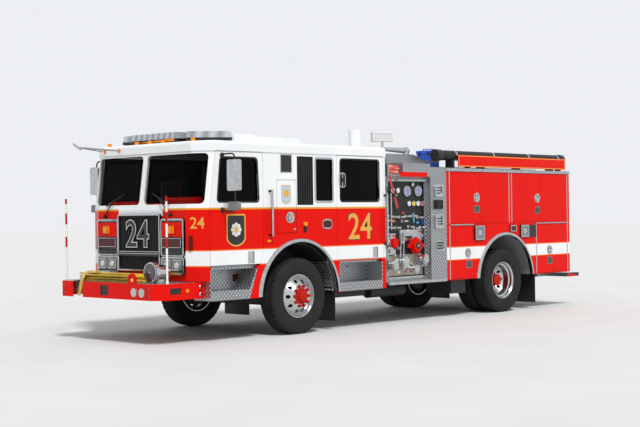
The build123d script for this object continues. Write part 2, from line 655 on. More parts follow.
with BuildPart() as grille:
    face = place(NOSE_Y)
    outline = box_outline((-GRILLE_HALF, GRILLE_HALF), GRILLE_Z)
    front_panel(outline, (face - GRILLE_PROUD, face), corner=30)
    hole_x = (-GRILLE_HALF + GRILLE_FRAME, GRILLE_HALF - GRILLE_FRAME)
    hole = box_outline(hole_x, (GRILLE_Z[0] + GRILLE_FRAME, GRILLE_Z[1] - GRILLE_FRAME))
    front_panel(hole, (face - GRILLE_PROUD, face - 4), Mode.SUBTRACT, corner=15)
    slat_count = int((2 * GRILLE_HALF - 2 * GRILLE_FRAME) / SLAT_PITCH) - 1
    slat_height = GRILLE_Z[1] - GRILLE_Z[0] - 2 * GRILLE_FRAME
    middle_z = (GRILLE_Z[0] + GRILLE_Z[1]) / 2
    with Locations((0, face - 4 - 10, middle_z)):
        with GridLocations(SLAT_PITCH, 1, slat_count, 1):
            Box(SLAT_THICK, 20, slat_height)
    span_box((-GRILLE_HALF + 10, GRILLE_HALF - 10), (face - GRILLE_PROUD - 4, face - 4), CROSS_BAR)
    for name, side in SIDES:
        for low, high in BEZELS:
            bezel = box_outline((side * LAMP_X[0], side * LAMP_X[1]), (low, high))
            front_panel(bezel, (face - BEZEL_PROUD, face), corner=35)
            pocket_x = (side * (LAMP_X[0] + BEZEL_FRAME), side * (LAMP_X[1] - BEZEL_FRAME))
            pocket = box_outline(pocket_x, (low + BEZEL_FRAME, high - BEZEL_FRAME))
            front_panel(pocket, (face - BEZEL_PROUD, face - 6), Mode.SUBTRACT, corner=20)
        middle_x = side * (LAMP_X[0] + LAMP_X[1]) / 2
        depth = (face - BEZEL_PROUD - LAMP_PROUD, face - 6)
        for lamp_z, width, height in LAMP_TABLE:
            across = (middle_x - width / 2, middle_x + width / 2)
            span_box(across, depth, (lamp_z - height / 2, lamp_z + height / 2))
        amber = (middle_x - AMBER_LAMP[1] / 2, middle_x + AMBER_LAMP[1] / 2)
        amber_z = (AMBER_LAMP[0] - AMBER_LAMP[1] / 2, AMBER_LAMP[0] + AMBER_LAMP[1] / 2)
        span_box(amber, (face - BEZEL_PROUD - AMBER_PROUD, face - 6), amber_z)
        for end in (-1, 1):
            lamp_x = middle_x + end * (HEADLAMP_SIZE[0] / 2 + 12)
            across = (lamp_x - HEADLAMP_SIZE[0] / 2, lamp_x + HEADLAMP_SIZE[0] / 2)
            tall = (HEADLAMP_Z - HEADLAMP_SIZE[1] / 2, HEADLAMP_Z + HEADLAMP_SIZE[1] / 2)
            span_box(across, depth, tall)
        facet_x = side * (NOSE_FLAT_HALF + CORNER_LAMP_ALONG)
        facet_y = face + CORNER_LAMP_ALONG * tan(FACET)
        with Locations(Location((facet_x, facet_y, CORNER_LAMP_Z), (0, 0, side * degrees(FACET)))):
            Box(CORNER_LAMP[0], 2 * CORNER_LAMP[1], CORNER_LAMP[2])
    nose_layer(0, CAB_WALL, Mode.SUBTRACT)
grille.part.label = "grille"
export_step(grille.part, "parts/grille.step")


# Cab side openings, as corners in (distance behind the front axle, height)
FIXED_WINDOW = ((308, 675), (1817, 2434))
FIXED_WINDOW_CORNER = 45
LOUVRE = ((-48, 268), (1776, 2446))
HATCH = ((-441, -70), (1400, 2115))
HATCH_THICK = 30
HATCH_DEPTH = 160
WINDOW_CORNER = 55
DOOR_TOP = GUTTER - DOOR_GAP
DOOR_CLIP = (60, 220)
FRONT_DOOR_FRONT = CORNER_Y + DOOR_GAP


def lean_at(height):
    """How far the nose leans back at a height."""
    return NOSE_LEAN * max(0, height - BELT) / (GUTTER - BELT)


def door_outline(front, rear, leaning):
    """Corners of a cab door, with a leaning front edge above the belt where it has one."""
    lean = lean_at(DOOR_TOP) if leaning else 0
    foot = rear - DOOR_CLIP[0] if leaning else rear
    return [
        (place(front), DOOR_BOTTOM), (place(foot), DOOR_BOTTOM),
        (place(rear), DOOR_BOTTOM + DOOR_CLIP[1]), (place(rear), DOOR_TOP),
        (place(front + lean), DOOR_TOP), (place(front), BELT),
    ]


FRONT_DOOR = door_outline(FRONT_DOOR_FRONT, FRONT_DOOR_REAR, True)
REAR_DOOR_OUTLINE = door_outline(*REAR_DOOR, False)
FRONT_WINDOW = [(place(-1517), 1820), (place(-770), 1820), (place(-800), 2405), (place(-1455), 2405)]
REAR_WINDOW = box_outline(places((820, 1664)), (1823, 2430))
FRONT_LATCH = ((-982, -867), (1008, 1170))
REAR_LATCH = ((1508, 1623), (1008, 1162))
CAB_DOORS = (
    ("front", FRONT_DOOR, FRONT_WINDOW, FRONT_LATCH),
    ("rear", REAR_DOOR_OUTLINE, REAR_WINDOW, REAR_LATCH),
)
LATCH_POCKET = 16
PADDLE_INSET = 18
PADDLE_THICK = 8

# Cab side panels: from the front door's rear edge to the cab's rear, cut for the
# rear door, the wheel arch, the rear step well, the fixed window and the louvre
LOUVRE_DEPTH = 20
LOUVRE_PITCH = 40

for name, side in SIDES:
    outer = side * CAB_HALF
    inner = side * (CAB_HALF - CAB_WALL)
    thick = (outer, inner)
    with BuildPart() as cab_side:
        lower_front = places(FRONT_WELL_REAR)
        front_edge = place(FRONT_DOOR_REAR + DOOR_GAP)
        foot = front_edge - DOOR_CLIP[0]
        outline = [
            (front_edge, GUTTER), (place(CAB_REAR), GUTTER), (place(CAB_REAR), SIDE_BOTTOM),
            (lower_front[0], SIDE_BOTTOM), (lower_front[1], WELL_TOP), (foot, WELL_TOP),
            (foot, DOOR_BOTTOM - DOOR_GAP), (front_edge, DOOR_BOTTOM + DOOR_CLIP[1]),
        ]
        side_panel(outline, thick)
        side_panel(REAR_DOOR_OUTLINE, thick, Mode.SUBTRACT, grow=DOOR_GAP)
        side_panel(box_outline(places(REAR_WELL), (SIDE_BOTTOM - 10, WELL_TOP)), thick, Mode.SUBTRACT)
        cross_cylinder(ARCH_RADIUS, thick, FRONT_AXLE_Y, AXLE_Z, Mode.SUBTRACT)
        fixed_window = box_outline(places(FIXED_WINDOW[0]), FIXED_WINDOW[1])
        side_panel(fixed_window, thick, Mode.SUBTRACT, FIXED_WINDOW_CORNER)
        louvre = (outer, outer - side * LOUVRE_DEPTH)
        side_panel(box_outline(places(LOUVRE[0]), LOUVRE[1]), louvre, Mode.SUBTRACT)
        slats = int((LOUVRE[0][1] - LOUVRE[0][0]) / LOUVRE_PITCH) - 1
        for index in range(slats):
            middle = place(LOUVRE[0][0]) + (index + 1) * (LOUVRE[0][1] - LOUVRE[0][0]) / (slats + 1)
            span_box((outer - side * 3, louvre[1]), (middle - 5, middle + 5), LOUVRE[1])
        if side > 0:
            hatch = box_outline(places(HATCH[0]), HATCH[1])
            side_panel(hatch, thick, Mode.SUBTRACT, grow=DOOR_GAP)
            liner = (inner, inner - side * HATCH_DEPTH)
            side_panel(hatch, liner, grow=DOOR_GAP + 4)
            side_panel(hatch, (inner, liner[1] + side * 4), Mode.SUBTRACT, grow=DOOR_GAP)
    cab_side.part.label = f"cab_side_{name}"
    export_step(cab_side.part, f"parts/cab_side_{name}.step")


# Cab glass: two wrapped windscreen panes and a fixed pane behind each louvre
with BuildPart() as cab_glass:
    nose_layer((CAB_WALL - GLASS) / 2, GLASS)
    windscreen_openings(Mode.INTERSECT)
    for name, side in SIDES:
        pane = side * (CAB_HALF - (CAB_WALL - GLASS) / 2)
        outline = box_outline(places(FIXED_WINDOW[0]), FIXED_WINDOW[1])
        side_panel(outline, (pane, pane - side * GLASS), corner=FIXED_WINDOW_CORNER)
cab_glass.part.label = "cab_glass"
export_step(cab_glass.part, "parts/cab_glass.step")


# Hatch in the left side, hung on its front edge
with BuildPart() as hatch:
    side_panel(box_outline(places(HATCH[0]), HATCH[1]), (CAB_HALF, CAB_HALF - HATCH_THICK))
hatch.part.label = "hatch_left"
export_step(hatch.part, "parts/hatch_left.step")


# Cab doors, each with its glass, hung on their front edges
for name, side in SIDES:
    outer = side * CAB_HALF
    inner = side * (CAB_HALF - CAB_WALL)
    for which, outline, window, latch in CAB_DOORS:
        with BuildPart() as cab_door:
            side_panel(outline, (outer, inner))
            side_panel(window, (outer, inner), Mode.SUBTRACT, WINDOW_CORNER)
            pocket = outer - side * LATCH_POCKET
            side_panel(box_outline(places(latch[0]), latch[1]), (outer, pocket), Mode.SUBTRACT)
            tall = (latch[1][0] + PADDLE_INSET, latch[1][1] - PADDLE_INSET)
            paddle = box_outline(places(latch[0]), tall)
            side_panel(paddle, (pocket, pocket + side * PADDLE_THICK), grow=-PADDLE_INSET / 2)
        cab_door.part.label = f"cab_door_{which}_{name}"
        export_step(cab_door.part, f"parts/cab_door_{which}_{name}.step")

        with BuildPart() as door_glass:
            pane = side * (CAB_HALF - (CAB_WALL - GLASS) / 2)
            side_panel(window, (pane, pane - side * GLASS), corner=WINDOW_CORNER)
        door_glass.part.label = f"door_glass_{which}_{name}"
        export_step(door_glass.part, f"parts/door_glass_{which}_{name}.step")


# Mirrors on the front doors: a tube arm in one bent run, a tall head and a
# small round-cornered wide-angle head under it
MIRROR_X = CAB_HALF + 245
MIRROR_Y = -1425
MIRROR_HEAD = (190, 80, 400)
MIRROR_Z = 2160
WIDE_HEAD = (170, 70, 110)
WIDE_Z = 1765
ARM_RADIUS = 11
ARM_Z = (1700, 2440)
ARM_BEND = 60

for name, side in SIDES:
    with BuildPart() as mirror_piece:
        foot_x = side * CAB_HALF
        head_x = side * MIRROR_X
        with BuildLine() as route:
            FilletPolyline(
                (foot_x, place(MIRROR_Y), ARM_Z[0]), (head_x, place(MIRROR_Y), ARM_Z[0]),
                (head_x, place(MIRROR_Y), ARM_Z[1]), (foot_x, place(MIRROR_Y), ARM_Z[1]), radius=ARM_BEND,
            )
        with BuildSketch(Plane(origin=route.line @ 0, z_dir=route.line % 0)) as section:
            Circle(ARM_RADIUS)
        sweep(section.sketch, path=route.line)
        for size, z, corner in ((MIRROR_HEAD, MIRROR_Z, 30), (WIDE_HEAD, WIDE_Z, 25)):
            with Locations((head_x, place(MIRROR_Y) - ARM_RADIUS, z)):
                head = Box(*size)
            fillet(head.edges().filter_by(Axis.Y), corner)
    mirror_piece.part.label = f"mirror_{name}"
    export_step(mirror_piece.part, f"parts/mirror_{name}.step")


# Cab tub: floor with the engine tunnel, wheelhouses, step wells and rear wall
TUNNEL_GAP = 20
TUNNEL_PLATE = 15
TUNNEL_REAR = 700
FLOOR_HALF = CAB_HALF - CAB_WALL - DOOR_GAP
REAR_WALL = 45
REAR_WALL_BOTTOM = 640
REAR_WALL_GAP = 520
WELL_INNER = CAB_HALF - STEP_DEPTH


def well_rear_at(height):
    """Place of the front step well's slanted rear edge at a height."""
    share = (height - SIDE_BOTTOM) / (WELL_TOP - SIDE_BOTTOM)
    return place(FRONT_WELL_REAR[0] + share * (FRONT_WELL_REAR[1] - FRONT_WELL_REAR[0]))


with BuildPart() as cab_tub:
    nose = place(NOSE_Y + CAB_WALL)
    corner = place(CORNER_Y + 60)
    rear = place(CAB_REAR)
    floor = [(FLOOR_HALF, rear), (FLOOR_HALF, corner), (NOSE_FLAT_HALF - 60, nose)]
    deck(floor + mirrored(floor)[::-1], (FLOOR_TOP - FLOOR_THICK, FLOOR_TOP))
    wall = places((CAB_REAR - REAR_WALL, CAB_REAR))
    span_box((-CAB_HALF + CAB_WALL, CAB_HALF - CAB_WALL), wall, (FLOOR_TOP - FLOOR_THICK, GUTTER))
    for name, side in SIDES:
        span_box((side * REAR_WALL_GAP, side * (CAB_HALF - CAB_WALL)), wall, (REAR_WALL_BOTTOM, FLOOR_TOP))
    for name, side in SIDES:
        house = (side * (WHEELHOUSE_INNER - 15), side * FLOOR_HALF)
        cross_cylinder(WHEELHOUSE_RADIUS + 15, house, FRONT_AXLE_Y, AXLE_Z)
    for name, side in SIDES:
        space = (side * WHEELHOUSE_INNER, side * (CAB_HALF + 10))
        cross_cylinder(WHEELHOUSE_RADIUS, space, FRONT_AXLE_Y, AXLE_Z, Mode.SUBTRACT)
        below = (side * (WHEELHOUSE_INNER - 30), side * (CAB_HALF + 10))
        reach = (FRONT_AXLE_Y - WHEELHOUSE_RADIUS - 30, FRONT_AXLE_Y + WHEELHOUSE_RADIUS + 30)
        span_box(below, reach, (AXLE_Z - WHEELHOUSE_RADIUS - 30, AXLE_Z + 40), Mode.SUBTRACT)
    under_floor = FLOOR_TOP - FLOOR_THICK
    tunnel_half = ENGINE_HALF + TUNNEL_GAP
    tunnel_run = places((ENGINE[0] - TUNNEL_GAP, TUNNEL_REAR))
    tunnel_top = ENGINE_Z[1] + TUNNEL_GAP
    shell_half = tunnel_half + TUNNEL_PLATE
    shell_run = (tunnel_run[0] - TUNNEL_PLATE, tunnel_run[1] + TUNNEL_PLATE)
    span_box((-shell_half, shell_half), shell_run, (under_floor, tunnel_top + TUNNEL_PLATE))
    span_box((-tunnel_half, tunnel_half), tunnel_run, (under_floor - 10, tunnel_top), Mode.SUBTRACT)
    for name, side in SIDES:
        deep = (side * WELL_INNER, side * CAB_HALF)
        hollow = (side * (WELL_INNER + STEP_PLATE), side * (CAB_HALF + 10))
        wells = (
            [
                (place(CORNER_Y), SIDE_BOTTOM), (place(FRONT_WELL_REAR[0]), SIDE_BOTTOM),
                (well_rear_at(under_floor), under_floor), (place(CORNER_Y), under_floor),
            ],
            box_outline(places(REAR_WELL), (SIDE_BOTTOM, under_floor)),
        )
        for outline in wells:
            side_panel(outline, deep)
            room = [
                (outline[0][0] + STEP_PLATE, STEP_TOP), (outline[1][0] - STEP_PLATE, STEP_TOP),
                (outline[2][0] - STEP_PLATE, under_floor), (outline[3][0] + STEP_PLATE, under_floor),
            ]
            side_panel(room, hollow, Mode.SUBTRACT)
cab_tub.part.label = "cab_tub"
export_step(cab_tub.part, "parts/cab_tub.step")


# Cab roof: a shallow lid over the nose, sides and rear wall
ROOF_SKIN = 40
ROOF_EDGE = 45
ROOF_OVERHANG = 12

with BuildPart() as cab_roof:
    lean = NOSE_LEAN
    front = [(x, y + lean) for x, y in nose_plan(0)]
    edge = [(-CAB_HALF - ROOF_OVERHANG, place(CAB_REAR)), (-CAB_HALF - ROOF_OVERHANG, front[0][1] - 10)]
    lip = [(-NOSE_FLAT_HALF - 5, front[1][1] - ROOF_OVERHANG)]
    left_half = edge + lip
    deck(left_half + mirrored(left_half)[::-1], (GUTTER, ROOF_TOP))
    top = cab_roof.faces().sort_by(Axis.Z)[-1]
    fillet(top.edges(), ROOF_EDGE)
    inner = CAB_HALF - CAB_WALL
    room = places((CORNER_Y + NOSE_LEAN + CAB_WALL, CAB_REAR - REAR_WALL))
    span_box((-inner, inner), room, (GUTTER, ROOF_TOP - ROOF_SKIN), Mode.SUBTRACT)
cab_roof.part.label = "cab_roof"
export_step(cab_roof.part, "parts/cab_roof.step")


# Seats: a base box, a cushion and a back, two in front and three at the rear
SEAT_WIDTH = 480
SEAT_DEPTH = 460
SEAT_BASE_INSET = 30
CUSHION_TOP = 1440
CUSHION_THICK = 120
CUSHION_LIP = 40
BACK_THICK = 130
BACK_HEIGHT = 720
SEATS = (
    # across, rear face's distance, floor under the base
    (720, -560, AXLE_Z + WHEELHOUSE_RADIUS + 16),
    (-720, -560, AXLE_Z + WHEELHOUSE_RADIUS + 16),
    (780, 1720, FLOOR_TOP),
    (0, 1720, FLOOR_TOP),
    (-780, 1720, FLOOR_TOP),
)

with BuildPart() as seats:
    cushion = (CUSHION_TOP - CUSHION_THICK, CUSHION_TOP)
    for x, back, floor in SEATS:
        rear = place(back)
        across = (x - SEAT_WIDTH / 2, x + SEAT_WIDTH / 2)
        base = (across[0] + SEAT_BASE_INSET, across[1] - SEAT_BASE_INSET)
        span_box(base, (rear - SEAT_DEPTH, rear - 2 * SEAT_BASE_INSET), (floor, cushion[0]))
        span_box(across, (rear - SEAT_DEPTH - CUSHION_LIP, rear - 20), cushion)
        span_box(across, (rear - BACK_THICK, rear), (cushion[0], CUSHION_TOP + BACK_HEIGHT))
seats.part.label = "seats"
export_step(seats.part, "parts/seats.step")


# Dashboard with the steering wheel on its column
DASH_HALF = 880
DASH_OUTLINE = [(-1735, 1000), (-1615, 1000), (-1420, 1380), (-1460, 1760), (-1735, 1700)]
WHEEL_CENTRE = (720, -1180, 1690)
WHEEL_AXIS = (0, 0.5, 0.866)
STEERING_RADIUS = 225
STEERING_RIM = 16
SPOKES = (90, 210, 330)
SPOKE = (30, 14)
COLUMN_RADIUS = 28
COLUMN_LENGTH = 330

with BuildPart() as dashboard:
    side_panel([(place(y), z) for y, z in DASH_OUTLINE], (-DASH_HALF, DASH_HALF))
    hub = (WHEEL_CENTRE[0], place(WHEEL_CENTRE[1]), WHEEL_CENTRE[2])
    column = Plane(origin=hub, x_dir=(1, 0, 0), z_dir=WHEEL_AXIS)
    foot = column.origin - column.z_dir * COLUMN_LENGTH
    rod((foot.X, foot.Y, foot.Z), hub, COLUMN_RADIUS)
    with Locations(column):
        Torus(STEERING_RADIUS, STEERING_RIM)
        for angle in SPOKES:
            with Locations(Rotation(0, 0, angle)):
                with Locations((STEERING_RADIUS / 2, 0, 0)):
                    Box(STEERING_RADIUS, *SPOKE)
dashboard.part.label = "dashboard"
export_step(dashboard.part, "parts/dashboard.step")


# Light bar: a middle section and a wing swept back on each side, each a low
# base with a slant-sided lens on it, on feet
BAR_DEPTH = 270
BAR_BASE = 35
BAR_LENS = 85
BAR_LIFT = 22
BAR_CORNER = 45
BAR_INSET = 6
BAR_MIDDLE_Y = -1450
BAR_MIDDLE_HALF = 505
WING_START = (575, -1485)
WING_END = (965, -1010)
LENS_SLANT = 12
FOOT_SIZE = 70


def bar_section(start, end):
    """One section of the light bar over the line between two (across, distance) points."""
    run = Vector(end[0] - start[0], end[1] - start[1])
    turn = degrees(atan2(run.Y, run.X))
    middle = Location(((start[0] + end[0]) / 2, place((start[1] + end[1]) / 2), 0), (0, 0, turn))
    floor = ROOF_TOP + BAR_LIFT
    with BuildSketch(Plane.XY.offset(floor)) as base:
        with Locations(middle):
            RectangleRounded(run.length, BAR_DEPTH, BAR_CORNER)
    extrude(base.sketch, amount=BAR_BASE)
    with BuildSketch(Plane.XY.offset(floor + BAR_BASE)) as lens:
        with Locations(middle):
            RectangleRounded(run.length - BAR_INSET, BAR_DEPTH - BAR_INSET, BAR_CORNER)
    extrude(lens.sketch, amount=BAR_LENS, taper=LENS_SLANT)
    with BuildSketch(Plane.XY.offset(ROOF_TOP)) as feet:
        with Locations(middle):
            with GridLocations(run.length - 2 * FOOT_SIZE, 1, 2, 1):
                Rectangle(FOOT_SIZE, BAR_DEPTH / 2)
    extrude(feet.sketch, amount=BAR_LIFT)


# Roof fittings: the light bar, a stepped air conditioning cover, a vent with a
# flange, marker lamps, a crossview mirror, and the scene lamp on its post
AC_HALF = 600
AC_FRONT = (-640, -240, 2766)
AC_REAR = (-240, 650, 2742)
AC_CORNER = 60
AC_EDGE = 18
DOME = (850, 1560)
DOME_RADIUS = 95
DOME_TOP = 2890
DOME_FLANGE = (135, 14)
ROOF_LAMPS = (-890, -280, 0, 280, 890)
ROOF_LAMP_BACK = 70
ROOF_LAMP_RADIUS = 30
ROOF_LAMP_HEIGHT = 42
CROSSVIEW = (-700, -2310, 2590)
CROSSVIEW_RADIUS = 90
CROSSVIEW_FEET = (-560, -880)
CROSSVIEW_ARM = 10
FOOT_PAD = (50, 8)
FOOT_Z = 2550

with BuildPart() as roof_fittings:
    bar_section((-BAR_MIDDLE_HALF, BAR_MIDDLE_Y), (BAR_MIDDLE_HALF, BAR_MIDDLE_Y))
    bar_section(WING_START, WING_END)
    bar_section(*mirrored((WING_START, WING_END)))
    for front, back, top in (AC_FRONT, AC_REAR):
        with BuildSketch(Plane.XY.offset(ROOF_TOP)) as cover:
            with Locations((0, place((front + back) / 2))):
                Rectangle(2 * AC_HALF, back - front)
        extrude(cover.sketch, amount=top - ROOF_TOP)
    level = roof_fittings.faces().filter_by(Plane.XY)
    fillet(level.filter_by_position(Axis.Z, AC_FRONT[2] - 1, AC_FRONT[2] + 1).edges(), AC_EDGE)
    with Locations((DOME[0], place(DOME[1]), (ROOF_TOP + DOME_TOP) / 2)):
        Cylinder(DOME_RADIUS, DOME_TOP - ROOF_TOP)
    with Locations((DOME[0], place(DOME[1]), ROOF_TOP + DOME_FLANGE[1] / 2)):
        Cylinder(*DOME_FLANGE)
    for x in ROOF_LAMPS:
        lamp = (x, place(NOSE_Y + NOSE_LEAN + ROOF_LAMP_BACK))
        rod((*lamp, ROOF_TOP), (*lamp, ROOF_TOP + ROOF_LAMP_HEIGHT), ROOF_LAMP_RADIUS)
    head = (CROSSVIEW[0], place(CROSSVIEW[1]), CROSSVIEW[2])
    foot_y = place(NOSE_Y + NOSE_LEAN - ROOF_OVERHANG)
    for x in CROSSVIEW_FEET:
        with Locations((x, foot_y - FOOT_PAD[1] / 2, FOOT_Z)):
            Box(FOOT_PAD[0], FOOT_PAD[1], FOOT_PAD[0])
        rod((x, foot_y - FOOT_PAD[1] / 2, FOOT_Z), head, CROSSVIEW_ARM)
    with Locations(Plane(origin=head, z_dir=(-0.4, -0.6, -1))):
        Cone(CROSSVIEW_RADIUS, CROSSVIEW_RADIUS * 0.6, 2 * CROSSVIEW_ARM + 8)
roof_fittings.part.label = "roof_fittings"
export_step(roof_fittings.part, "parts/roof_fittings.step")


# Bright trim: rolled wheel arch trims and the grab rails
ARCH_BOTTOM = 556
TRIM_LIP = 40
RAIL_RADIUS = 16
RAIL_STAND = 60
GRAB_RAILS = (
    # distance, height span
    (-580, (1360, 1980)),
    (1775, (1180, 1930)),
)

REAR_RAILS = (
    # across, height span, on the rear face
    (BODY_HALF - 70, (900, 1440)),
    (500, (1000, 1560)),
)
FOLDING_STEPS = ((1400, 1632), (1896, 2085))
STEP_SPAN = (2920, 3125)
STEP_PROUD = 26
STEP_FRAME = 34
STEP_CORNER = 40
STRIP_LAMP = ((2925, 3095), (1705, 1844))


def arch_trim(side, face, axle_y, bottom):
    """An angle section turned over the wheel: a flat on the panel and a lip through the opening."""
    section_plane = Plane(origin=(face, axle_y, AXLE_Z), x_dir=(side, 0, 0), z_dir=(0, -side, 0))
    edge = ARCH_RADIUS + ARCH_TRIM
    points = [
        (0, ARCH_RADIUS), (0, edge), (TRIM_PROUD, edge - 8), (TRIM_PROUD + 6, ARCH_RADIUS - 8),
        (-TRIM_LIP, ARCH_RADIUS - 8), (-TRIM_LIP, ARCH_RADIUS),
    ]
    with BuildSketch(section_plane) as section:
        with BuildLine():
            Polyline(*points, close=True)
        make_face()
    revolve(section.sketch, axis=Axis((face, axle_y, AXLE_Z), (1, 0, 0)))
    reach = ARCH_RADIUS + ARCH_TRIM + 20
    low = (face - side * (TRIM_LIP + 10), face + side * (TRIM_PROUD + 20))
    span_box(low, (axle_y - reach, axle_y + reach), (AXLE_Z - reach, bottom), Mode.SUBTRACT)


def grab_rail(side, face, distance, heights):
    x = face + side * RAIL_STAND
    y = place(distance)
    rod((x, y, heights[0]), (x, y, heights[1]), RAIL_RADIUS)
    for z in heights:
        inset = RAIL_RADIUS if z == heights[0] else -RAIL_RADIUS
        rod((face, y, z + inset), (x, y, z + inset), RAIL_RADIUS)


with BuildPart() as bright_trim:
    for name, side in SIDES:
        arch_trim(side, side * CAB_HALF, FRONT_AXLE_Y, ARCH_BOTTOM)
        arch_trim(side, side * BODY_HALF, REAR_AXLE_Y, BODY_BOTTOM)
        for distance, heights in GRAB_RAILS:
            grab_rail(side, side * CAB_HALF, distance, heights)
        rear_y = place(BODY_REAR)
        for x, heights in REAR_RAILS:
            foot = (side * x, rear_y)
            bar = (side * x, rear_y + RAIL_STAND)
            rod((*bar, heights[0]), (*bar, heights[1]), RAIL_RADIUS)
            for z in (heights[0] + 2 * RAIL_RADIUS, heights[1] - 2 * RAIL_RADIUS):
                rod((*foot, z), (*bar, z), RAIL_RADIUS - 3)
        strip = (side * BODY_HALF, side * (BODY_HALF + STEP_PROUD))
        for heights in FOLDING_STEPS:
            along = places(STEP_SPAN)
            side_panel(box_outline(along, heights), strip, corner=STEP_CORNER)
            room_y = (along[0] + STEP_FRAME, along[1] - STEP_FRAME)
            room = box_outline(room_y, (heights[0] + STEP_FRAME, heights[1] - STEP_FRAME))
            side_panel(room, (side * (BODY_HALF + 8), strip[1]), Mode.SUBTRACT, corner=STEP_CORNER / 2)
        span_box((strip[0], side * (BODY_HALF + STEP_FRAME)), places(STRIP_LAMP[0]), STRIP_LAMP[1])
bright_trim.part.label = "bright_trim"
export_step(bright_trim.part, "parts/bright_trim.step")


# Pump house: two side cabinets that clear the frame, a bridge over it, the
# crosslay trays across the top and tread-plate corner boxes
CABINET_INNER = 520
BRIDGE_BOTTOM = 960
CROSSLAY = (1850, 2190)
CROSSLAY_FLOOR = 2190
CROSSLAY_TOP = 2400
STRIP_TOP = 2350
PANEL_RECESS = 25
PANEL_FRAME = (70, 40, 60, 70)
COVER_HALF = 860
COVER_OUTLINE = [(2250, 2350), (3200, 2350), (3200, 2470), (2900, 2560), (2330, 2560), (2250, 2470)]

with BuildPart() as pump_house:
    run = places(PUMP)
    for name, side in SIDES:
        cabinet = (side * CABINET_INNER, side * PUMP_HALF)
        span_box(cabinet, run, (PUMP_BOTTOM, PUMP_TOP))
        board = (side * CABINET_INNER, side * BODY_HALF)
        span_box(board, run, (PUMP_BOTTOM - BOARD_EDGE, PUMP_BOTTOM))
        strip = (side * CABINET_INNER, side * BODY_HALF)
        span_box(strip, places((PUMP[1], STRIP_REAR)), (PUMP_BOTTOM - BOARD_EDGE, STRIP_TOP))
        panel = (side * (PUMP_HALF - PANEL_RECESS), side * (PUMP_HALF + 5))
        along = places((PUMP[0] + PANEL_FRAME[0], PUMP[1] - PANEL_FRAME[1]))
        span_box(panel, along, (PUMP_BOTTOM + PANEL_FRAME[2], PUMP_TOP - PANEL_FRAME[3]), Mode.SUBTRACT)
    span_box((-CABINET_INNER, CABINET_INNER), places((PUMP[0], STRIP_REAR)), (BRIDGE_BOTTOM, PUMP_TOP))
    span_box((-BODY_HALF, BODY_HALF), run, (PUMP_TOP, CROSSLAY_TOP))
    inner_strip = (-CABINET_INNER, CABINET_INNER)
    span_box(inner_strip, places((PUMP[1], STRIP_REAR)), (PUMP_TOP, STRIP_TOP))
    tray = places((CROSSLAY[0] + 12, CROSSLAY[1] - 12))
    span_box((-BODY_HALF - 5, BODY_HALF + 5), tray, (CROSSLAY_FLOOR + 30, CROSSLAY_TOP + 5), Mode.SUBTRACT)
    side_panel([(place(y), z) for y, z in COVER_OUTLINE], (-COVER_HALF, COVER_HALF))
pump_house.part.label = "pump_house"
export_step(pump_house.part, "parts/pump_house.step")


# Pump fittings on both panels: gauges, valve pulls with T handles, capped
# outlets and the large intake; on top the deck monitor and the scene lamp
GAUGES = (
    # distance, height, radius
    (2378, 1982, 80), (2640, 1984, 80), (2040, 1990, 42), (2160, 1990, 42), (2510, 2080, 30),
    (2420, 1793, 42), (2525, 1793, 42), (2630, 1793, 42), (2733, 1793, 42),
)
GAUGE_OUT = 22
PULLS = (
    # distance, height
    (1960, 1600), (2080, 1590), (2205, 1590), (2350, 1600), (2500, 1602), (2640, 1580),
    (1970, 1430), (2110, 1430), (2275, 1528), (2420, 1440), (2560, 1418), (2700, 1430),
)
PULL_ROD = (11, 70)
PULL_GRIP = (16, 95)
OUTLETS = (
    # distance, height, radius
    (1985, 1203, 62), (1985, 873, 62), (2225, 909, 72), (2700, 940, 62), (2480, 800, 52),
)
OUTLET_STEPS = ((1.0, 40), (0.78, 40), (1.25, 22), (1.0, 20))
INTAKE = (2520, 1153)
INTAKE_RADIUS = 95
INTAKE_STEPS = ((INTAKE_RADIUS, 40), (INTAKE_RADIUS + 25, 40), (INTAKE_RADIUS, 30))
INTAKE_LUGS = ((380, 56), (70, 260))
LUG_MIDDLE = 60
LUG_THICK = 22
MONITOR = (760, 2845)
MONITOR_RADIUS = 48
MONITOR_HEIGHT = 62
MONITOR_BALL = 60
BARREL_LENGTH = 520
BARREL_RISE = 10
SCENE_POST = (815, 2216)
SCENE_HEAD = (100, 330, 145)
SCENE_HEAD_Z = 2812
SCENE_TURN = -31


def stepped_outlet(side, face, y, z, steps):
    """Coaxial steps that stand out of the panel, as (radius, length)."""
    out = face
    for radius, length in steps:
        cross_cylinder(radius, (out, out + side * length), y, z)
        out += side * length


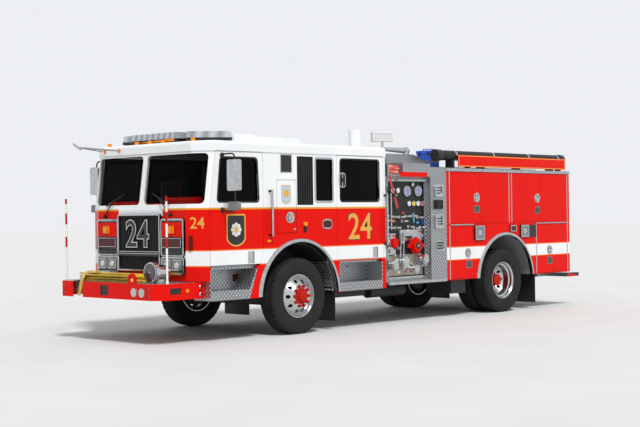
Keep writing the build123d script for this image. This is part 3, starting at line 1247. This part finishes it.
with BuildPart() as pump_fittings:
    for name, side in SIDES:
        face = side * (PUMP_HALF - PANEL_RECESS)
        for distance, height, radius in GAUGES:
            cross_cylinder(radius, (face, face + side * GAUGE_OUT), place(distance), height)
        for distance, height in PULLS:
            out = face + side * PULL_ROD[1]
            cross_cylinder(PULL_ROD[0], (face, out), place(distance), height)
            grip = (place(distance) - PULL_GRIP[1] / 2, place(distance) + PULL_GRIP[1] / 2)
            rod((out, grip[0], height), (out, grip[1], height), PULL_GRIP[0])
        for distance, height, radius in OUTLETS:
            steps = [(radius * share, length) for share, length in OUTLET_STEPS]
            stepped_outlet(side, face, place(distance), height, steps)
        stepped_outlet(side, face, place(INTAKE[0]), INTAKE[1], INTAKE_STEPS)
        with Locations((face + side * LUG_MIDDLE, place(INTAKE[0]), INTAKE[1])):
            for long, tall in INTAKE_LUGS:
                Box(LUG_THICK, long, tall)
    riser = (MONITOR[0], place(MONITOR[1]))
    foot_z = COVER_OUTLINE[3][1]
    rod((*riser, foot_z), (*riser, foot_z + MONITOR_HEIGHT), MONITOR_RADIUS)
    elbow = (*riser, foot_z + MONITOR_HEIGHT)
    with Locations(elbow):
        Sphere(MONITOR_BALL)
    barrel_end = (riser[0], riser[1] - BARREL_LENGTH, elbow[2] + BARREL_RISE)
    with BuildSketch(Plane(origin=elbow, z_dir=Vector(*barrel_end) - Vector(*elbow))) as barrel:
        Circle(MONITOR_RADIUS)
    extrude(barrel.sketch, amount=BARREL_LENGTH, taper=2)
    post = (SCENE_POST[0], place(SCENE_POST[1]))
    rod((*post, CROSSLAY_TOP), (*post, SCENE_HEAD_Z - SCENE_HEAD[2] / 2), 22)
    with Locations(Location((*post, SCENE_HEAD_Z), (0, 0, SCENE_TURN))):
        Box(*SCENE_HEAD)
pump_fittings.part.label = "pump_fittings"
export_step(pump_fittings.part, "parts/pump_fittings.step")


# Compartment bodies: a shell on each side with a wheelhouse and compartments
# that open outwards. The right side is low, with the ladders above it.
UPPER_DEPTH = 330
LOWER_DEPTH = 600
RIGHT_TOP = 1475
DRIP_RAIL = ((3305, 3905), (5671, 6658))
DRIP_Z = (1444, 1462)
DRIP_PROUD = 14
BODY_LAMPS = (
    # lengthways span, height span, proud
    ((3925, 4175), (1200, 1438), 26),
    ((4905, 5080), (1320, 1430), 14),
    ((5190, 5428), (1222, 1430), 26),
    ((5463, 5650), (1222, 1424), 10),
)
REAR_LAMPS = (
    # height span, on the rear face outboard of the shutter
    (780, 930), (950, 1100), (1120, 1270),
)
REAR_LAMP_X = (BODY_HALF - 350, BODY_HALF - 130)
REAR_LAMP_OUT = 25


def compartment(side, y, z, depth):
    """A recess for the door leaves and the room behind it."""
    outline = box_outline(places(y), z)
    outer = side * BODY_HALF
    recess = side * (BODY_HALF - LEAF_THICK)
    side_panel(outline, (outer, recess), Mode.SUBTRACT, grow=LEAF_GAP)
    side_panel(outline, (recess, side * (BODY_HALF - depth)), Mode.SUBTRACT, grow=-LEAF_LAND)


for name, side in SIDES:
    top = BODY_TOP if side > 0 else RIGHT_TOP
    with BuildPart() as body:
        across = (side * BODY_INNER, side * BODY_HALF)
        run = places((STRIP_REAR, BODY_REAR))
        span_box(across, run, (BODY_BOTTOM, top))
        span_box((across[0], across[1] + side * 12), run, (top, top + BODY_RAIL))
        house = (side * (BODY_INNER - 5), side * (BODY_HALF + 5))
        cross_cylinder(ARCH_RADIUS, house, REAR_AXLE_Y, AXLE_Z, Mode.SUBTRACT)
        if side > 0:
            for doors in UPPER_DOORS:
                compartment(side, doors, UPPER_Z, UPPER_DEPTH)
        compartment(side, LOWER_FRONT, LOWER_Z, LOWER_DEPTH)
        compartment(side, LOWER_REAR, LOWER_Z, LOWER_DEPTH)
        for rail in DRIP_RAIL:
            span_box((side * BODY_HALF, side * (BODY_HALF + DRIP_PROUD)), places(rail), DRIP_Z)
        for along, tall, proud in BODY_LAMPS:
            outline = box_outline(places(along), tall)
            side_panel(outline, (side * BODY_HALF, side * (BODY_HALF + proud)), corner=12)
        for tall in REAR_LAMPS:
            across = (side * REAR_LAMP_X[0], side * REAR_LAMP_X[1])
            span_box(across, places((BODY_REAR, BODY_REAR + REAR_LAMP_OUT)), tall)
    body.part.label = f"body_{name}"
    export_step(body.part, f"parts/body_{name}.step")


# Compartment door leaves: a single leaf on the lower front compartment and a
# pair on each of the others
def leaves(which, y, z):
    """Name, lengthways span and height span of the two leaves over a compartment."""
    middle = (y[0] + y[1]) / 2
    return (
        (f"{which}_front", (y[0], middle - LEAF_GAP / 2), z),
        (f"{which}_rear", (middle + LEAF_GAP / 2, y[1]), z),
    )


LOWER_LEAVES = (("lower_fore", LOWER_FRONT, LOWER_Z), *leaves("lower_aft", LOWER_REAR, LOWER_Z))
UPPER_LEAVES = (*leaves("upper_fore", UPPER_DOORS[0], UPPER_Z), *leaves("upper_aft", UPPER_DOORS[1], UPPER_Z))
SIDE_LEAVES = {"left": LOWER_LEAVES + UPPER_LEAVES, "right": LOWER_LEAVES}

for name, side in SIDES:
    for which, y, z in SIDE_LEAVES[name]:
        with BuildPart() as leaf:
            outer = side * BODY_HALF
            side_panel(box_outline(places(y), z), (outer, outer - side * LEAF_THICK))
        leaf.part.label = f"locker_{which}_{name}"
        export_step(leaf.part, f"parts/locker_{which}_{name}.step")


# Hose bed: tank block between the bodies, an open bed above it and the rear
# wall with its closed shutter
BED_FLOOR = 1650
BED_TOP = 2400
BED_WALL = 30
SHUTTER_RECESS = 25
SHUTTER_HALF = 430
SHUTTER_Z = (760, 1560)
BED_DIVIDERS = (-180, 190)
DIVIDER_THICK = 12
DIVIDER_DROP = 120

with BuildPart() as hose_bed:
    run = places((STRIP_REAR, BODY_REAR))
    tank = (-BODY_INNER, BODY_INNER)
    span_box(tank, run, (BRIDGE_BOTTOM, BED_FLOOR))
    span_box(tank, places((BODY_REAR - 250, BODY_REAR)), (TAILBOARD_TOP, BRIDGE_BOTTOM))
    for name, side in SIDES:
        wall = (side * BODY_INNER, side * (BODY_INNER - BED_WALL))
        span_box(wall, run, (BED_FLOOR, BED_TOP))
    span_box(tank, (run[0], run[0] + BED_WALL), (BED_FLOOR, BED_TOP))
    span_box(tank, (run[1] - BED_WALL, run[1]), (BED_FLOOR, BED_FLOOR + 250))
    for x in BED_DIVIDERS:
        span_box((x, x + DIVIDER_THICK), run, (BED_FLOOR, BED_TOP - DIVIDER_DROP))
    shutter = (run[1] - SHUTTER_RECESS, run[1] + 1)
    span_box((-SHUTTER_HALF, SHUTTER_HALF), shutter, SHUTTER_Z, Mode.SUBTRACT)
hose_bed.part.label = "hose_bed"
export_step(hose_bed.part, "parts/hose_bed.step")


# Tailboard: a full-width step on two brackets under the bodies
TAILBOARD_HALF = BODY_HALF - 30
BRACKET_X = 700
BRACKET = (60, 300, 200)
TOW_X = 300
TOW_INSET = 60
TOW_RADIUS = 22

with BuildPart() as tailboard:
    step = places((BODY_REAR, TAILBOARD_REAR))
    span_box((-TAILBOARD_HALF, TAILBOARD_HALF), step, (TAILBOARD_TOP - TAILBOARD_THICK, TAILBOARD_TOP))
    for name, side in SIDES:
        bracket = (side * BRACKET_X, side * (BRACKET_X + BRACKET[0]))
        arm = (BODY_REAR - BRACKET[1], BODY_REAR + BRACKET[2])
        span_box(bracket, places(arm), (TAILBOARD_TOP - TAILBOARD_THICK, TAILBOARD_TOP))
        hanger = (BODY_REAR - BRACKET[1], BODY_REAR - BRACKET[1] + 100)
        span_box(bracket, places(hanger), (TAILBOARD_TOP, BODY_BOTTOM))
    tow_y = place(TAILBOARD_REAR) - TOW_INSET
    for name, side in SIDES:
        with Locations((side * TOW_X, tow_y, TAILBOARD_TOP - TAILBOARD_THICK / 2)):
            Cylinder(TOW_RADIUS, TAILBOARD_THICK + 2, mode=Mode.SUBTRACT)
tailboard.part.label = "tailboard"
export_step(tailboard.part, "parts/tailboard.step")


# Hard suction hose on the left: a stiff tube with end couplings in a tray
# whose outer side is a blank board
TUBE_X = BODY_HALF - 160
TUBE_RADIUS = 78
TUBE = (3200, 6640)
TUBE_Z = 2550
TUBE_CUFF = (14, 60)
SADDLES = (3500, 4300, 5300, 6300)
SADDLE = (70, 60)
BOARD = (3600, 6667)
BOARD_Z = (2372, 2560)
BOARD_OUT = (100, 112)
BOARD_STAYS = (3900, 6500)
STAY_WIDTH = 30

with BuildPart() as hard_suction:
    rod((TUBE_X, place(TUBE[0]), TUBE_Z), (TUBE_X, place(TUBE[1]), TUBE_Z), TUBE_RADIUS)
    for end in TUBE:
        cuff = (place(end) - TUBE_CUFF[1], place(end) + TUBE_CUFF[1])
        rod((TUBE_X, cuff[0], TUBE_Z), (TUBE_X, cuff[1], TUBE_Z), TUBE_RADIUS + TUBE_CUFF[0])
    rail_top = BODY_TOP + BODY_RAIL
    for distance in SADDLES:
        saddle = (TUBE_X - SADDLE[0], TUBE_X + SADDLE[0])
        span_box(saddle, places((distance, distance + SADDLE[1])), (rail_top, TUBE_Z - TUBE_RADIUS + 8))
    span_box((TUBE_X + BOARD_OUT[0], TUBE_X + BOARD_OUT[1]), places(BOARD), BOARD_Z)
    for distance in BOARD_STAYS:
        stay = (TUBE_X, TUBE_X + BOARD_OUT[1])
        span_box(stay, places((distance, distance + STAY_WIDTH)), (rail_top, BOARD_Z[0] + STAY_WIDTH))
hard_suction.part.label = "hard_suction"
export_step(hard_suction.part, "parts/hard_suction.step")


# Tool case that stands on the left body in front of the suction hose: a box,
# a lid that overhangs it and a handle over the lid
CASE_X = (655, 955)
CASE = (3235, 3425)
CASE_Z = (BODY_TOP + BODY_RAIL, 2632)
CASE_LID = 50
LID_OVERHANG = 8
CASE_HANDLE = (90, 24)
HANDLE_BAR = 8

with BuildPart() as tool_case:
    lid_z = CASE_Z[1] - CASE_LID
    span_box(CASE_X, places(CASE), (CASE_Z[0], lid_z))
    lid_x = (CASE_X[0] - LID_OVERHANG, CASE_X[1] + LID_OVERHANG)
    span_box(lid_x, places((CASE[0] - LID_OVERHANG, CASE[1] + LID_OVERHANG)), (lid_z, CASE_Z[1]))
    middle_x = sum(CASE_X) / 2
    middle_y = place(sum(CASE) / 2)
    posts = (middle_x - CASE_HANDLE[0], middle_x + CASE_HANDLE[0])
    bar_z = CASE_Z[1] + CASE_HANDLE[1]
    for x in posts:
        rod((x, middle_y, CASE_Z[1]), (x, middle_y, bar_z), HANDLE_BAR)
    bar = (posts[0] - HANDLE_BAR, posts[1] + HANDLE_BAR)
    rod((bar[0], middle_y, bar_z), (bar[1], middle_y, bar_z), HANDLE_BAR)
tool_case.part.label = "tool_case"
export_step(tool_case.part, "parts/tool_case.step")


# Ladders on the right side, on edge above the low body: beams and rungs
LADDER = (3300, 7000)
LADDER_Z = (1640, 2180)
LADDER_X = (60 - BODY_HALF, 210 - BODY_HALF)
BEAM_DEPTH = 90
BEAM_THICK = 45
RUNG_PITCH = 355
RUNG_RADIUS = 17
RUNG_INSET = 100
LADDER_ARMS = (3600, 6300)
ARM_WIDTH = 50

with BuildPart() as ladders:
    for x in LADDER_X:
        across = (x - BEAM_THICK / 2, x + BEAM_THICK / 2)
        for z in (LADDER_Z[0], LADDER_Z[1] - BEAM_DEPTH):
            span_box(across, places(LADDER), (z, z + BEAM_DEPTH))
        rungs = int((LADDER[1] - LADDER[0] - 2 * RUNG_INSET) / RUNG_PITCH)
        for index in range(rungs + 1):
            y = place(LADDER[0] + RUNG_INSET + index * RUNG_PITCH)
            rod((x, y, LADDER_Z[0] + BEAM_DEPTH), (x, y, LADDER_Z[1] - BEAM_DEPTH), RUNG_RADIUS)
    for distance in LADDER_ARMS:
        arm = (LADDER_X[0] - 40, -BODY_INNER)
        span_box(arm, places((distance, distance + ARM_WIDTH)), (RIGHT_TOP + BODY_RAIL, LADDER_Z[0]))
ladders.part.label = "ladders"
export_step(ladders.part, "parts/ladders.step")


# Underbody: battery box, fuel tank, air tanks, silencer and mud flaps, each
# hung from the frame or the body
FLAP_THICK = 12
FRONT_FLAP = (740, (620, 1165), (130, 640))
REAR_FLAP = (5640, (600, 1230), (110, 592))
UNDER_BOXES = (
    # across, lengthways distances, heights
    ((-300, 300), (5750, 6350), (540, RAIL_BOTTOM + 40)),
    ((640, 1150), (3440, 3810), (370, BODY_BOTTOM)),
    ((-1100, -600), (3400, 3850), (380, BODY_BOTTOM)),
    ((-900, -600), (1050, 1750), (450, FLOOR_TOP - FLOOR_THICK)),
    ((600, 880), (1000, 1700), (430, FLOOR_TOP - FLOOR_THICK)),
)
UNDER_TANKS = (
    # across, lengthways distances, height, radius
    (-700, (2000, 3100), 480, 95),
    (700, (1950, 2750), 470, 100),
)
TANK_HANGER = 60

with BuildPart() as underbody:
    for name, side in SIDES:
        for distance, across, tall in (FRONT_FLAP, REAR_FLAP):
            span_box((side * across[0], side * across[1]), places((distance, distance + FLAP_THICK)), tall)
    for across, along, tall in UNDER_BOXES:
        span_box(across, places(along), tall)
    for x, along, z, radius in UNDER_TANKS:
        rod((x, place(along[0]), z), (x, place(along[1]), z), radius)
        hanger = (x - TANK_HANGER / 2, x + TANK_HANGER / 2)
        middle = (along[0] + along[1]) / 2
        span_box(hanger, places((middle, middle + TANK_HANGER)), (z, PUMP_BOTTOM - BOARD_EDGE))
underbody.part.label = "underbody"
export_step(underbody.part, "parts/underbody.step")


# Attack hoses, folded flat: one in the bumper's well and over its front edge,
# one in the crosslay tray
HOSE_INSET = 25
HOSE_LIFT = 5
BUMPER_HOSE_TOP = BUMPER_TOP + 118
OUTLET_ROOM = 60
CROSSLAY_HOSE = (CROSSLAY[0] + 40, CROSSLAY[1] - 40)
CROSSLAY_REACH = BODY_HALF - 35

with BuildPart() as bumper_hose:
    floor = BUMPER_TOP - WELL_DEPTH + DECK_THICK
    across = (WELL_X[0] + HOSE_INSET, WELL_X[1] - HOSE_INSET)
    pile = places((WELL_Y[0] + HOSE_INSET, WELL_Y[1] - HOSE_INSET))
    span_box(across, pile, (floor + HOSE_LIFT, BUMPER_HOSE_TOP))
    with Locations((OUTLET[0], place(OUTLET[1]), BUMPER_TOP)):
        Cylinder(OUTLET_ROOM, 2 * WELL_DEPTH, mode=Mode.SUBTRACT)
bumper_hose.part.label = "bumper_hose"
export_step(bumper_hose.part, "parts/bumper_hose.step")

with BuildPart() as crosslay_hose:
    pile = (CROSSLAY_FLOOR + 30 + HOSE_LIFT, CROSSLAY_TOP - 2 * HOSE_LIFT)
    span_box((-CROSSLAY_REACH, CROSSLAY_REACH), places(CROSSLAY_HOSE), pile)
crosslay_hose.part.label = "crosslay_hose"
export_step(crosslay_hose.part, "parts/crosslay_hose.step")
